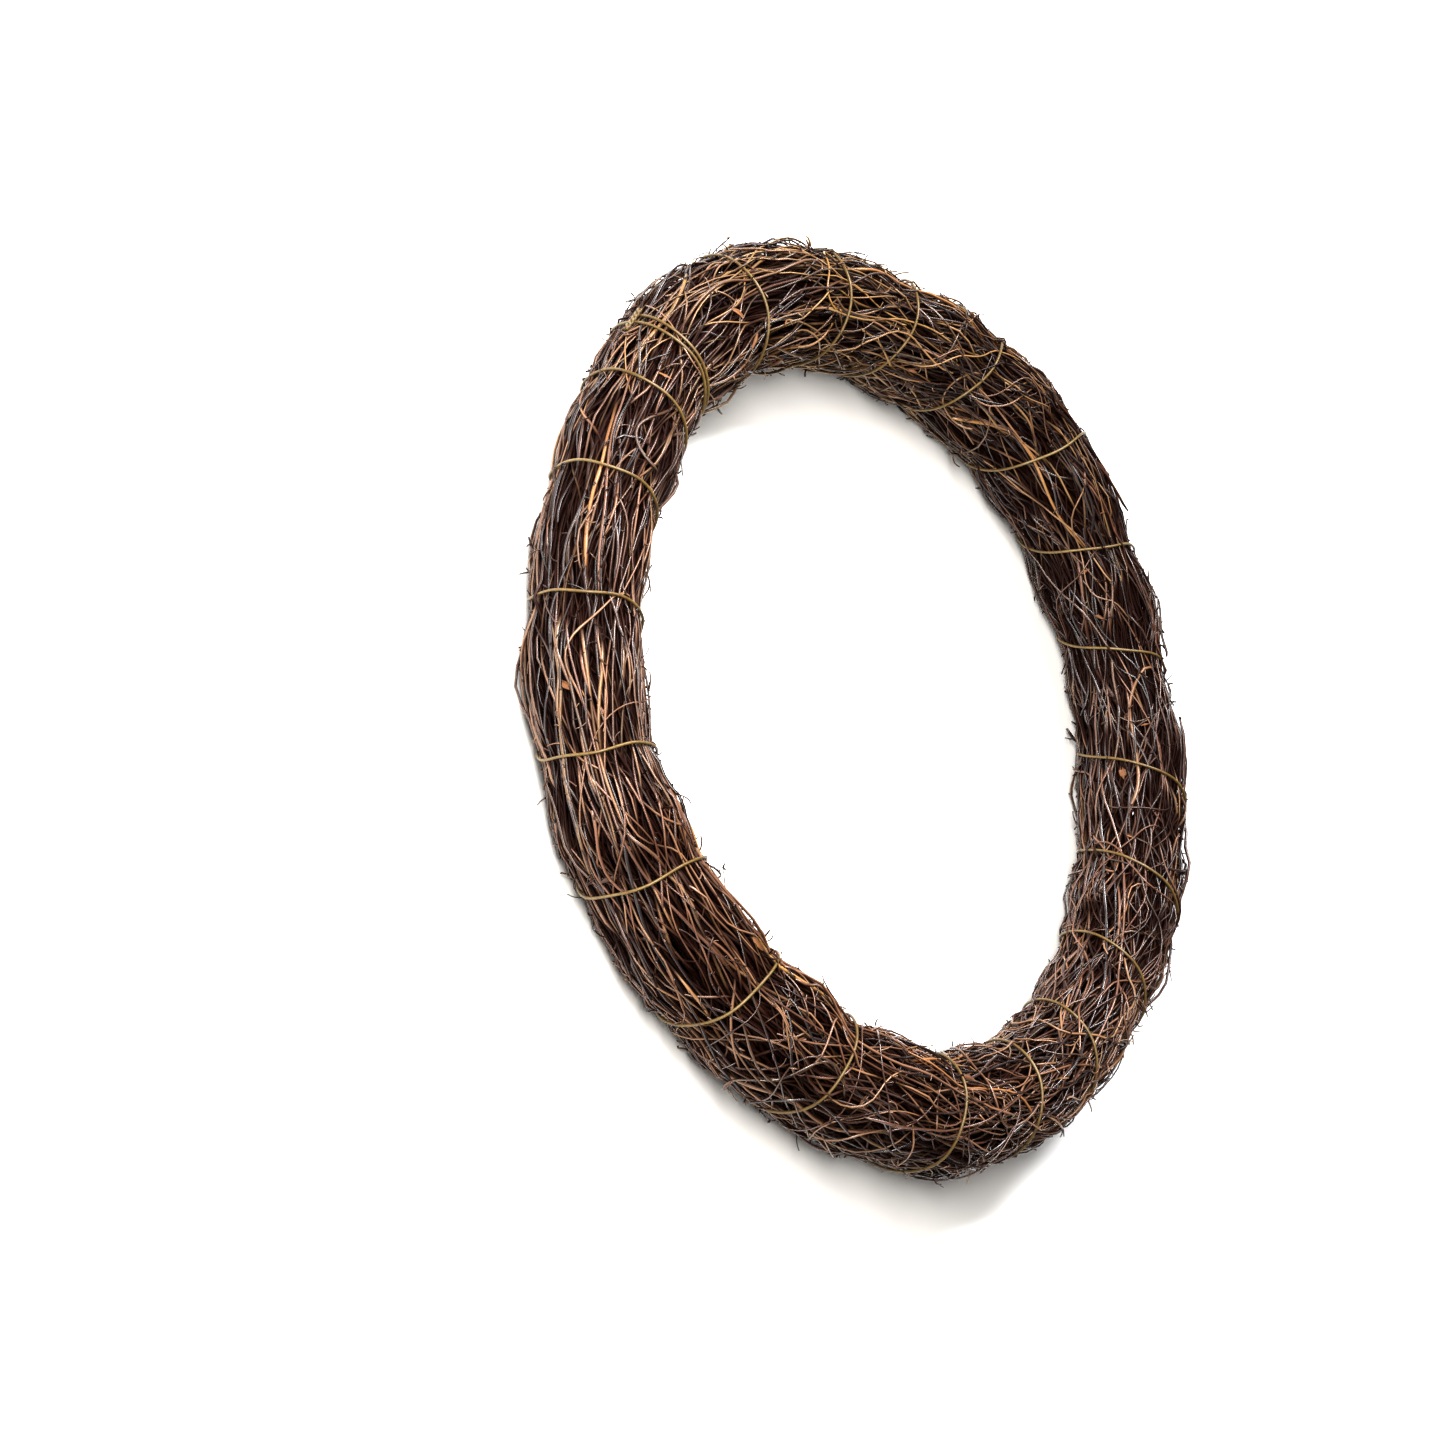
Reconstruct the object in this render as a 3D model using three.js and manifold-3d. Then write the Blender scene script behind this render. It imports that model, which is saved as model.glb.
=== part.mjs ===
// Grapevine wreath: a ring of fine vine twigs, bound by one spiral of paper-covered wire, lying flat.
// Millimetres, +Z up. Z is the ring's axis, and the wreath rests on three low spots at z = 0.

import * as THREE from 'three';
import { mergeVertices } from 'three/addons/utils/BufferGeometryUtils.js';
import Module from 'manifold-3d';

const wasm = await Module();
wasm.setup();

// Ring and bundle
const ringRadius = 130.5; // from the ring's axis to the middle of the bundle
const bundleRadius = 19; // from there to the tops of the outer twigs
const seamGap = 0.3; // between two neighbouring bunches
const bunchCount = 16;
// Each wave is [waves round the ring, cosine part, sine part], and makes the ring uneven, as wound by hand
const ringWaves = [[2, 0, 2.1], [3, -0.5, 0.2], [4, 0.3, 1.4], [5, -0.8, -0.7]];
const bundleWaves = [[1, 0, 0.3], [2, -0.8, 0.5], [3, 0.4, -0.3], [4, -0.3, 0], [5, -0.3, -0.3]];
const lumpHeight = 0.4; // of the low swellings all over the bundle

// Binding wire
const wireRadius = 0.6;
const wireGap = 0.3; // left clear round the wire
const wireLift = 0.3; // of the wire's underside over the tops of the twigs that it binds
const pinchDepth = 1.4; // how far each turn of wire draws the bundle in
const pinchReach = 9; // to each side of the wire
// Where each turn crosses the side of the bundle that shows, in degrees round the ring
const turnPlaces = [
  8, 25, 42, 60, 77, 92, 111, 128, 137, 151, 168, 187, 203, 221, 238, 261, 279, 295, 313, 330, 348,
];
const showingSide = 90; // degrees round the section, at the middle of the side that shows
const showingSway = 51; // how far that side turns outwards on the left of the ring, inwards on the right
const turnLean = 5; // degrees round the ring that a turn moves on as it crosses the side that shows
const turnLeanSway = 4; // more of it on the right, less on the left
const wireStepsPerTurn = 12;
const wireSides = 3;
const firstLap = 7.04; // where the wire starts, in laps round the section
const doubledLaps = 0.5; // how far its end runs beside its start
const doubledOffset = 2.4; // between the first turn and the last, which doubles it
const knotLength = 9; // of its start, twisted round the last turn and laid along the bundle
const knotRadius = 1.15;
const knotSteps = 6;
const knotTwist = 0.9; // radians a step

// Layer of thick twigs that forms the body of the bundle
const ridgeCount = 20;
const ridgeHeight = 1.7; // from a furrow up to the tallest ridge beside it
const ridgeInset = 2; // from the tops of the outer twigs down to the tallest ridges
const stepsPerBunch = 3;
const bundleTwist = 2; // turns that the ridges make round the bundle in one lap of the ring
const ridgeSway = 0.04; // radians to each side

// Outer twigs
const twigRadius = 1.25; // of the circle round a twig's three-sided section
const twigsPerSeam = 4; // long twigs laid over each seam between two bunches
const crossingTwigs = 14;
const stubCount = 56;
const tendrilCount = 5;
const twigStep = 14; // between the bends of a twig
const sunk = -4.5; // height over its neighbours of an end that dives into the body
const stubDepth = 4.5; // of its root, under the tops of the outer twigs
const stubRadius = 1.3;
const tendrilRadius = 0.95;
const tendrilArch = 1.3; // how far its middle stands clear
const tendrilSteps = 9;

// Resting spots
const spotTurns = [3, 10, 16]; // each spot lies midway between this turn of wire and the one before
const spotTrim = 1.6; // how far each spot's swelling is pressed flat
const spotReach = 14; // along the ring, to each side
const spotSpread = 0.5; // round the bundle, to each side, in radians
const restDepth = bundleRadius + 1.2; // from the middle of the bundle down to the flat of the spots

const radians = Math.PI / 180;
const lap = 2 * Math.PI;

// Repeatable random numbers
function makeRandom(seed) {
  let state = seed;
  return (low = 0, high = 1) => {
    state = (state + 0x6d2b79f5) | 0;
    let mixed = Math.imul(state ^ (state >>> 15), 1 | state);
    mixed = (mixed + Math.imul(mixed ^ (mixed >>> 7), 61 | mixed)) ^ mixed;
    return low + ((high - low) * ((mixed ^ (mixed >>> 14)) >>> 0)) / 4294967296;
  };
}

function sumWaves(waves, around) {
  let sum = 0;
  for (const [count, cosine, sine] of waves) {
    sum += cosine * Math.cos(count * around) + sine * Math.sin(count * around);
  }
  return sum;
}

// A place on the wreath is (around the ring, around the bundle's section, distance from its middle).
// Around the section, 0 points away from the ring's axis and a quarter of a lap points up.
function place(around, section, reach) {
  const out = ringRadius + sumWaves(ringWaves, around) + reach * Math.cos(section);
  const up = sumWaves(bundleWaves, around) + reach * Math.sin(section);
  return new THREE.Vector3(out * Math.cos(around), out * Math.sin(around), up);
}

function outwards(around, section) {
  const flat = Math.cos(section);
  return new THREE.Vector3(flat * Math.cos(around), flat * Math.sin(around), Math.sin(section));
}

function wrapped(angle) {
  return angle - lap * Math.round(angle / lap);
}

// The wire's course, as knots of [laps round the section, angle round the ring]. A turn crosses the
// side that shows with a lean of its own, and makes up the rest of its way on the side that doesn't.
const course = [];
turnPlaces.forEach((degrees, turn) => {
  const around = degrees * radians;
  const crown = showingSide + showingSway * Math.cos(around);
  const lean = (turnLean + turnLeanSway * Math.cos(around)) * radians;
  course.push([turn + (crown - 90) / 360, around - lean / 2]);
  course.push([turn + (crown + 90) / 360, around + lean / 2]);
});

function wireAround(laps) {
  const count = turnPlaces.length;
  const whole = Math.floor((laps - course[0][0]) / count);
  const within = laps - whole * count;
  let after = course.findIndex(([reached]) => reached > within);
  if (after < 0) {
    after = course.length;
  }
  const [startLaps, startAngle] = course[after - 1];
  const next = course[after % course.length];
  const endLaps = next[0] + (after === course.length ? count : 0);
  const endAngle = next[1] + (after === course.length ? lap : 0);
  const share = (within - startLaps) / (endLaps - startLaps);
  return whole * lap + startAngle + share * (endAngle - startAngle);
}

// Distance along the ring from a place on the bundle to the nearest turn of wire
function fromWire(around, section) {
  let nearest = Infinity;
  for (let turn = 0; turn < turnPlaces.length; turn += 1) {
    const away = Math.abs(wrapped(around - wireAround(turn + section / lap)));
    nearest = Math.min(nearest, away);
  }
  return nearest * ringRadius;
}

const spotPlaces = spotTurns.map((turn) => (wireAround(turn - 0.25) + wireAround(turn + 0.75)) / 2);

function bell(distance, width) {
  return Math.exp(-((distance / width) ** 2));
}

function plateau(distance, width) {
  return Math.exp(-((distance / width) ** 4));
}

const lumps = [];
const lumpRandom = makeRandom(11);
for (let index = 0; index < 7; index += 1) {
  lumps.push({
    round: Math.round(lumpRandom(5, 23)),
    across: Math.round(lumpRandom(-2, 2)),
    phase: lumpRandom(0, lap),
  });
}

// How much of a resting spot's swelling there is at a place, from 0 to 1
function spotShare(around, section) {
  const aside = plateau(wrapped(section + lap / 4), spotSpread);
  const shares = spotPlaces.map((spot) => plateau(wrapped(around - spot) * ringRadius, spotReach));
  return Math.max(...shares) * aside;
}

// Distance from the middle of the bundle to the tops of the outer twigs
function bundleReach(around, section) {
  let reach = bundleRadius + sumWaves(bundleWaves, around);
  for (const { round, across, phase } of lumps) {
    reach += (lumpHeight * Math.sin(round * around + across * section + phase)) / 2;
  }
  const level = restDepth + spotTrim + sumWaves(bundleWaves, around);
  reach += (level - reach) * spotShare(around, section);
  return reach - pinchDepth * bell(fromWire(around, section), pinchReach);
}

function toSolid(geometry) {
  geometry.deleteAttribute('normal');
  geometry.deleteAttribute('uv');
  const merged = mergeVertices(geometry, 1e-5);
  const vertProperties = new Float32Array(merged.attributes.position.array);
  const triVerts = new Uint32Array(merged.index.array);
  return new wasm.Manifold(new wasm.Mesh({ numProp: 3, vertProperties, triVerts }));
}

function toGeometry(solid) {
  const mesh = solid.getMesh();
  const geometry = new THREE.BufferGeometry();
  geometry.setAttribute('position', new THREE.Float32BufferAttribute(mesh.vertProperties, 3));
  geometry.setIndex(new THREE.Uint32BufferAttribute(mesh.triVerts, 1));
  geometry.computeVertexNormals();
  return geometry;
}

// A closed skin over rings of points, all with as many points, closed by a fan at each end
function skin(rings, first, last) {
  const round = rings[0].length;
  const points = [...rings.flat(), first, last];
  const triangles = [];
  for (let row = 0; row + 1 < rings.length; row += 1) {
    for (let column = 0; column < round; column += 1) {
      const a = row * round + column;
      const b = row * round + ((column + 1) % round);
      triangles.push(a, b, a + round, b, b + round, a + round);
    }
  }
  const end = (rings.length - 1) * round;
  for (let column = 0; column < round; column += 1) {
    const next = (column + 1) % round;
    triangles.push(next, column, points.length - 2);
    triangles.push(end + column, end + next, points.length - 1);
  }
  const geometry = new THREE.BufferGeometry();
  geometry.setAttribute('position', new THREE.Float32BufferAttribute(points.flatMap((p) => p.toArray()), 3));
  geometry.setIndex(triangles);
  return geometry;
}

// A tapered rod along points, with a side or edge turned along each point's outward direction
function rod(points, ups, radii, sides) {
  const rings = [];
  for (let index = 1; index + 1 < points.length; index += 1) {
    const along = points[index + 1].clone().sub(points[index - 1]).normalize();
    const side = along.clone().cross(ups[index]).normalize();
    const up = side.clone().cross(along);
    const ring = [];
    for (let corner = 0; corner < sides; corner += 1) {
      const angle = (corner / sides) * lap;
      const offset = up.clone().multiplyScalar(Math.cos(angle) * radii[index]);
      offset.addScaledVector(side, Math.sin(angle) * radii[index]);
      ring.push(points[index].clone().add(offset));
    }
    rings.push(ring);
  }
  return skin(rings, points[0], points[points.length - 1]);
}

// Body of one bunch: ridges and furrows, as thick twigs lie side by side
const ridgeRandom = makeRandom(23);
const ridges = [];
for (let index = 0; index < ridgeCount; index += 1) {
  ridges.push({
    height: ridgeRandom(0.45, 1),
    waves: Math.round(ridgeRandom(4, 17)),
    phase: ridgeRandom(0, lap),
  });
}

function bodyRing(around, shift) {
  const tangent = new THREE.Vector3(-Math.sin(around), Math.cos(around), 0);
  const ring = [];
  for (let column = 0; column < 2 * ridgeCount; column += 1) {
    const ridge = ridges[column >> 1];
    const wave = Math.sin(ridge.waves * around + ridge.phase);
    const up = column % 2 === 0 ? ridge.height * (0.8 + 0.2 * wave) : 0;
    const section = (column / (2 * ridgeCount)) * lap + bundleTwist * around + ridgeSway * wave;
    const inset = (ridgeInset + (1 - up) * ridgeHeight) * (1 - spotShare(around, section));
    const reach = bundleReach(around, section) - inset;
    ring.push(place(around, section, reach).addScaledVector(tangent, shift));
  }
  return ring.reverse();
}

function bunchBody(index) {
  const start = (index / bunchCount) * lap;
  const end = ((index + 1) / bunchCount) * lap;
  const spot = spotPlaces.find((angle) => angle > start && angle < end);
  const rings = [bodyRing(start, seamGap / 2)];
  for (let step = 1; step < stepsPerBunch; step += 1) {
    const across = step / stepsPerBunch;
    const beside = ((across - 0.5) * 2.8 * spotReach) / ringRadius;
    rings.push(bodyRing(spot ? spot + beside : start + (end - start) * across, 0));
  }
  rings.push(bodyRing(end, -seamGap / 2));
  const middles = [rings[0], rings[rings.length - 1]].map((ring) => {
    const middle = new THREE.Vector3();
    ring.forEach((point) => middle.addScaledVector(point, 1 / ring.length));
    return middle;
  });
  return toSolid(skin(rings, middles[0], middles[1]));
}

// One outer twig over the body, from a start place along its own drift. Its ends dive into the body,
// or stand out past the others, by the given lifts.
function outerTwig(random, start, section, length, drift, lifts) {
  const steps = Math.max(4, Math.round(length / twigStep));
  const bend = random(-0.25, 0.25);
  const points = [];
  const ups = [];
  const radii = [];
  for (let step = 0; step <= steps; step += 1) {
    const share = step / steps;
    const run = length * share;
    const sideways = Math.sin(drift) * run + bend * length * (share * share - share);
    const around = start + (Math.cos(drift) * run) / ringRadius;
    const turned = section + sideways / bundleRadius;
    let lift = random(-0.3, 0.1);
    if (step === 0) {
      lift = lifts[0];
    } else if (step === steps) {
      lift = lifts[1];
    }
    points.push(place(around, turned, bundleReach(around, turned) - twigRadius + lift));
    ups.push(outwards(around, turned));
    radii.push(twigRadius * random(0.85, 1));
  }
  return toSolid(rod(points, ups, radii, 3));
}

function looseEnd(random) {
  return random() < 0.4 ? random(1.5, 4.2) : sunk;
}

// A short side shoot or broken end, which leans along the ring and stands out of the bundle
function stub(random, around, section) {
  const root = place(around, section, bundleReach(around, section) - stubDepth);
  const up = outwards(around, section);
  const along = new THREE.Vector3(-Math.sin(around), Math.cos(around), 0);
  const lean = random(-1.5, 1.5);
  const aside = along.clone().cross(up).multiplyScalar(random(-0.5, 0.5));
  const way = up.clone().addScaledVector(along, lean).add(aside).normalize();
  const length = random(6.5, 9) / Math.max(way.dot(up), 0.5);
  const points = [-0.1, 0, 1].map((share) => root.clone().addScaledVector(way, length * share));
  return toSolid(rod(points, points.map(() => along), [0, stubRadius, 0], 3));
}

// A tendril that leaves the bundle, arches clear of it and curls back in
function tendril(random, around, section) {
  const size = random(8, 13);
  const hand = random() < 0.5 ? -1 : 1;
  const points = [];
  const ups = [];
  for (let step = 0; step <= tendrilSteps; step += 1) {
    const angle = (step / tendrilSteps) * 0.75 * lap;
    const run = size * (1 - Math.cos(angle));
    const sideways = hand * size * Math.sin(angle);
    const at = around + run / ringRadius;
    const turned = section + sideways / bundleRadius;
    const middle = Math.sin((Math.PI * step) / tendrilSteps);
    const lift = middle < 0.01 ? sunk : tendrilArch * middle - tendrilRadius / 2;
    points.push(place(at, turned, bundleReach(at, turned) + lift));
    ups.push(outwards(at, turned));
  }
  return toSolid(rod(points, ups, points.map(() => tendrilRadius), 3));
}

function joinAll(solids) {
  return solids.reduce((joined, solid) => joined.add(solid));
}

function makeOuterTwigs() {
  const random = makeRandom(5);
  const twigs = [];
  for (let index = 0; index < twigsPerSeam * bunchCount; index += 1) {
    const seam = ((index % bunchCount) / bunchCount) * lap;
    const section = ((index / bunchCount + (index % bunchCount) * 0.618 + random(0, 0.06)) % 1) * lap;
    const length = random(62, 94);
    const start = seam - (length * random(0.4, 0.6)) / ringRadius;
    const drift = random(-14, 14) * radians;
    twigs.push(outerTwig(random, start, section, length, drift, [sunk, looseEnd(random)]));
  }
  for (let index = 0; index < crossingTwigs; index += 1) {
    const start = ((index + random(0, 1)) / crossingTwigs) * lap;
    const section = ((index * 0.38 + random(0, 0.1)) % 1) * lap;
    const drift = random(28, 52) * radians * (random() < 0.5 ? -1 : 1);
    twigs.push(outerTwig(random, start, section, random(38, 50), drift, [sunk, looseEnd(random)]));
  }
  for (let index = 0; index < tendrilCount; index += 1) {
    const start = ((index + random(0.2, 0.8)) / tendrilCount) * lap;
    twigs.push(tendril(random, start, random(-0.3, 0.75) * Math.PI));
  }
  for (let index = 0; index < stubCount; index += 1) {
    const start = ((index + random(0, 1)) / stubCount) * lap;
    twigs.push(stub(random, start, ((index * 0.618 + random(0, 0.1)) % 1) * lap));
  }
  return joinAll(twigs);
}

// The room of one bunch between its two seam planes
function bunchRoom(index) {
  const inner = ringRadius - 2 * bundleRadius;
  const outer = ringRadius + 2 * bundleRadius;
  const gap = seamGap / 2 + 0.1;
  const corner = (reach, side) => {
    const angle = ((index + side) / bunchCount) * lap;
    const shift = side === 0 ? gap : -gap;
    const x = reach * Math.cos(angle) - shift * Math.sin(angle);
    const y = reach * Math.sin(angle) + shift * Math.cos(angle);
    return new THREE.Vector2(x, y);
  };
  const outline = new THREE.Shape([corner(inner, 0), corner(outer, 0), corner(outer, 1), corner(inner, 1)]);
  const geometry = new THREE.ExtrudeGeometry(outline, { depth: 4 * bundleRadius, bevelEnabled: false });
  geometry.translate(0, 0, -2 * bundleRadius);
  return toSolid(geometry);
}

// The binding wire: a spiral right round the ring, whose last turn doubles the first
function wireRod(radius, sides) {
  const count = turnPlaces.length;
  const chordRise = bundleRadius * (1 / Math.cos(Math.PI / wireStepsPerTurn) - 1);
  const steps = (count + doubledLaps) * wireStepsPerTurn;
  const points = [];
  const ups = [];
  for (let step = 0; step <= steps; step += 1) {
    const laps = firstLap + step / wireStepsPerTurn;
    const section = (laps % 1) * lap;
    const shift = doubledOffset * THREE.MathUtils.smoothstep(step / wireStepsPerTurn, count - 1, count);
    const around = wireAround(laps) + shift / ringRadius;
    const reach = bundleReach(wireAround(laps), section) + wireLift + wireRadius + chordRise / 2;
    points.push(place(around, section, reach));
    ups.push(outwards(around, section));
  }
  return toSolid(rod(points, ups, points.map(() => radius), sides));
}

// Its start, twisted round the turn beside it
function wireKnot(radius) {
  const section = (firstLap % 1) * lap;
  const start = wireAround(firstLap) - 2 / ringRadius;
  const points = [];
  const ups = [];
  for (let step = 0; step <= knotSteps; step += 1) {
    const around = start + (knotLength * step) / knotSteps / ringRadius;
    const reach = bundleReach(around, section) + wireLift + knotRadius;
    points.push(place(around, section, reach));
    ups.push(outwards(around, section + step * knotTwist));
  }
  return toSolid(rod(points, ups, points.map(() => radius), wireSides));
}

function makeWire() {
  return joinAll([wireRod(wireRadius, wireSides), wireKnot(knotRadius)]);
}

function wireRoom() {
  return joinAll([wireRod(wireRadius + wireGap, wireSides), wireKnot(knotRadius + wireGap)]);
}

// Everything above the surface that the wreath rests on
function restingRoom() {
  const size = 3 * ringRadius;
  const box = new THREE.BoxGeometry(size, size, size);
  box.translate(0, 0, size / 2 - restDepth);
  return toSolid(box);
}

function largestBody(solid) {
  return solid.decompose().reduce((largest, body) => (body.volume() > largest.volume() ? body : largest));
}

const wreath = new THREE.Group();

function addPiece(name, solid, color, roughness) {
  const material = new THREE.MeshStandardMaterial({ color, roughness, metalness: 0 });
  const mesh = new THREE.Mesh(toGeometry(solid), material);
  mesh.name = name;
  wreath.add(mesh);
}

const outerTwigs = makeOuterTwigs();
const clearOfWire = wireRoom();
const aboveRest = restingRoom();
for (let index = 0; index < bunchCount; index += 1) {
  const twigs = outerTwigs.intersect(bunchRoom(index));
  const bunch = bunchBody(index).add(twigs).subtract(clearOfWire).intersect(aboveRest);
  const number = String(index + 1).padStart(2, '0');
  addPiece(`twig_bunch_${number}`, largestBody(bunch), index % 2 ? 0x4e3b32 : 0x5a4338, 0.7);
}
addPiece('binding_wire', makeWire(), 0x8a7a45, 0.6);

const bounds = new THREE.Box3().setFromObject(wreath);
const centre = bounds.getCenter(new THREE.Vector3());
wreath.position.set(-centre.x, -centre.y, restDepth);

export default wreath;
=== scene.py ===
import math

import bpy
import numpy as np
from mathutils import Matrix, Vector


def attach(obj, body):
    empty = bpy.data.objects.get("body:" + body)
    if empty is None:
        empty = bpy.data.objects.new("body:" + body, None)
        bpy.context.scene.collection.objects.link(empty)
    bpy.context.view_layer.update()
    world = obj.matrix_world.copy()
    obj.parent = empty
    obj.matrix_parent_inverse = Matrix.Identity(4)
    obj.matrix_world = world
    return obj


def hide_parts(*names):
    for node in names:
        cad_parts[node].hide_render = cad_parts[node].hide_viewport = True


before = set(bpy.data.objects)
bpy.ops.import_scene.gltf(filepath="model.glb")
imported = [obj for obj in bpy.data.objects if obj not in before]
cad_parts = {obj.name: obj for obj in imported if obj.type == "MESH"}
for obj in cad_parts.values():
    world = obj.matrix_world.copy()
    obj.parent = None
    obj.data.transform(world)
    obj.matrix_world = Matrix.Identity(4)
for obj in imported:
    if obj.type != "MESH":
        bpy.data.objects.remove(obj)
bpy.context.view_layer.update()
print("frame loaded:", len(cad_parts), "solids")

mm = 0.001
lap = 2 * math.pi
bunchNodes = sorted(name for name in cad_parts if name.startswith("twig_bunch"))

# The ring, as the solids have it
ring = {
    "radius": 130.5 * mm,  # to the middle of the bundle
    "bundle": 19 * mm,  # from there to the tops of the outer twigs
    "centre": (3.58 * mm, 1.43 * mm),  # of the ring, in the frame
    "restHeight": 20.2 * mm,  # of the bundle's middle over the floor
    "ringWaves": ((2, 0, 2.1), (3, -0.5, 0.2), (4, 0.3, 1.4), (5, -0.8, -0.7)),
    "bundleWaves": ((1, 0, 0.3), (2, -0.8, 0.5), (3, 0.4, -0.3), (4, -0.3, 0), (5, -0.3, -0.3)),
    "lumpHeight": 0.4 * mm,
    "lumpSeed": 11,
    "lumpCount": 7,
    "lumpsRound": (5, 18),  # fewest waves round the ring, and how many more
    "lumpsAcross": (-2, 4),
}
ringMiddle = Vector((*ring["centre"], ring["restHeight"]))

# The wire's course, as the solids have it
wire = {
    "radius": 0.46 * mm,
    "turnPlaces": (
        8, 25, 42, 60, 77, 92, 111, 128, 137, 151, 168, 187, 203, 221, 238, 261, 279, 295, 313, 330, 348,
    ),  # degrees round the ring
    "showingSide": 90,  # degrees round the bundle at which a turn crosses its place
    "showingSway": 51,
    "turnLean": 5,  # degrees round the ring from one side of the bundle to the other
    "turnLeanSway": 4,
    "pinchDepth": 1.4 * mm,
    "pinchReach": 9 * mm,
    "firstLap": 7.04,  # where it begins, counted in turns
    "doubledLaps": 0.5,  # its end runs on beside the first turn
    "doubledOffset": 2.4 * mm,
    "lift": 0.55 * mm,  # of its middle over the twigs it binds
    "easing": np.linspace(-0.14, 0.14, 15),  # turns over which its corners are eased
    "waver": 0.25 * mm,
    "waverBends": ((19.3, 0), (31.7, 1), (8.1, 0)),  # how quick each is, and where it starts
    "tuckDepth": 7 * mm,  # its end is pushed into the twigs
    "tuckLaps": 0.06,
    "stepsPerTurn": 56,
    "sides": 10,
    "knotLength": 9 * mm,
    "knotStart": -2 * mm,
    "knotPoints": 30,
    "knotTwists": 2.6,
    "knotLift": 1.45 * mm,
    "knotSpread": 1.04,  # of its two strands, in radii of the wire
}

# The three low spots it rests on, as the solids have them
spots = {"turns": (3, 10, 16), "trim": 1.6 * mm, "reach": 14 * mm, "spread": 0.5}


# The solids' own random numbers, so that the lumps are the same
def countedRandom(seed):
    mask = 0xFFFFFFFF
    state = seed
    while True:
        state = (state + 0x6D2B79F5) & mask
        mixed = ((state ^ (state >> 15)) * (1 | state)) & mask
        mixed = ((mixed + (((mixed ^ (mixed >> 7)) * (61 | mixed)) & mask)) & mask) ^ mixed
        yield (mixed ^ (mixed >> 14)) / 4294967296


def makeLumps():
    draws = countedRandom(ring["lumpSeed"])
    lumps = []
    for _ in range(ring["lumpCount"]):
        around, across = (
            math.floor(fewest + more * next(draws) + 0.5)
            for fewest, more in (ring["lumpsRound"], ring["lumpsAcross"])
        )
        lumps.append((around, across, lap * next(draws)))
    return lumps


def makeCourse():
    laps, angles = [], []
    turns = wire["turnPlaces"]
    for again in (-1, 0, 1):
        for turn, degrees in enumerate(turns):
            middle = math.radians(degrees)
            crown = (wire["showingSide"] + wire["showingSway"] * math.cos(middle)) / 360
            lean = math.radians(wire["turnLean"] + wire["turnLeanSway"] * math.cos(middle))
            start = turn + again * len(turns) + crown
            laps += [start - 0.25, start + 0.25]  # a quarter turn before and after it crosses
            angles += [middle - lean / 2 + again * lap, middle + lean / 2 + again * lap]
    return np.array(laps), np.array(angles)


lumps = makeLumps()
courseLaps, courseAngles = makeCourse()


def waves(rows, around):
    total = 0 * around
    for count, cosine, sine in rows:
        total = total + cosine * np.cos(count * around) + sine * np.sin(count * around)
    return total * mm


def wireAround(laps):
    return np.interp(laps, courseLaps, courseAngles)


def wrapped(angle):
    return angle - lap * np.round(angle / lap)


def fromWire(around, section):
    nearest = np.full(np.shape(around + section), np.inf)
    fraction = (section / lap) % 1
    for turn in range(-1, len(wire["turnPlaces"])):
        away = np.abs(wrapped(around - wireAround(turn + fraction)))
        nearest = np.minimum(nearest, away)
    return nearest * ring["radius"]


def bell(distance, width):
    return np.exp(-((distance / width) ** 2))


def plateau(distance, width):
    return np.exp(-((distance / width) ** 4))


# The spots are on the underside, halfway between two turns
spotPlaces = [(wireAround(turn - 0.25) + wireAround(turn + 0.75)) / 2 for turn in spots["turns"]]


def bundleReach(around, section, pinch=1.0):
    reach = ring["bundle"] + waves(ring["bundleWaves"], around)
    for count, across, phase in lumps:
        reach = reach + ring["lumpHeight"] * np.sin(count * around + across * section + phase) / 2
    share = 0 * reach
    for spot in spotPlaces:
        share = np.maximum(share, plateau(wrapped(around - spot) * ring["radius"], spots["reach"]))
    share = share * plateau(wrapped(section + lap / 4), spots["spread"])
    level = ring["restHeight"] + spots["trim"] + waves(ring["bundleWaves"], around)
    reach = reach + (level - reach) * share
    return reach - pinch * wire["pinchDepth"] * bell(fromWire(around, section), wire["pinchReach"])


def place(around, section, reach):
    out = ring["radius"] + waves(ring["ringWaves"], around) + reach * np.cos(section)
    up = ring["restHeight"] + waves(ring["bundleWaves"], around) + reach * np.sin(section)
    x = ring["centre"][0] + out * np.cos(around)
    y = ring["centre"][1] + out * np.sin(around)
    return np.stack([x, y, up], axis=-1)


def outwards(around, section):
    flat = np.cos(section)
    return np.stack([flat * np.cos(around), flat * np.sin(around), np.sin(section) + 0 * around], axis=-1)


def unit(vectors, shortest=1e-12):
    return vectors / np.maximum(np.linalg.norm(vectors, axis=-1, keepdims=True), shortest)


# Camera, first, at the angle from which the photo sees the ring
camera = {
    "place": (-807.1 * mm, -163 * mm, 652.2 * mm),  # from the ring's centre
    "back": (-0.736, -0.157, 0.658),
    "up": (0, 0.973, 0.232),
    "lens": 82.46,
    "sensor": 36,
    "farthest": 20,
}


def makeCamera():
    data = bpy.data.cameras.new("camera")
    data.lens = camera["lens"]
    data.sensor_width = camera["sensor"]
    data.clip_end = camera["farthest"]
    eye = bpy.data.objects.new("camera", data)
    bpy.context.scene.collection.objects.link(eye)
    back = Vector(camera["back"]).normalized()
    right = Vector(camera["up"]).cross(back).normalized()
    up = back.cross(right)
    turn = Matrix((right, up, back)).transposed().to_4x4()
    eye.matrix_world = Matrix.Translation(Vector(camera["place"]) + ringMiddle) @ turn
    bpy.context.scene.camera = eye


makeCamera()
print("camera placed")

# Tubes, many at once: each row of points is one twig, wire or scrap
tips = {"length": 0.4, "run": 0.5 * mm}  # of a tube's tip: its length in radii, and on the map of the skin


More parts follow.
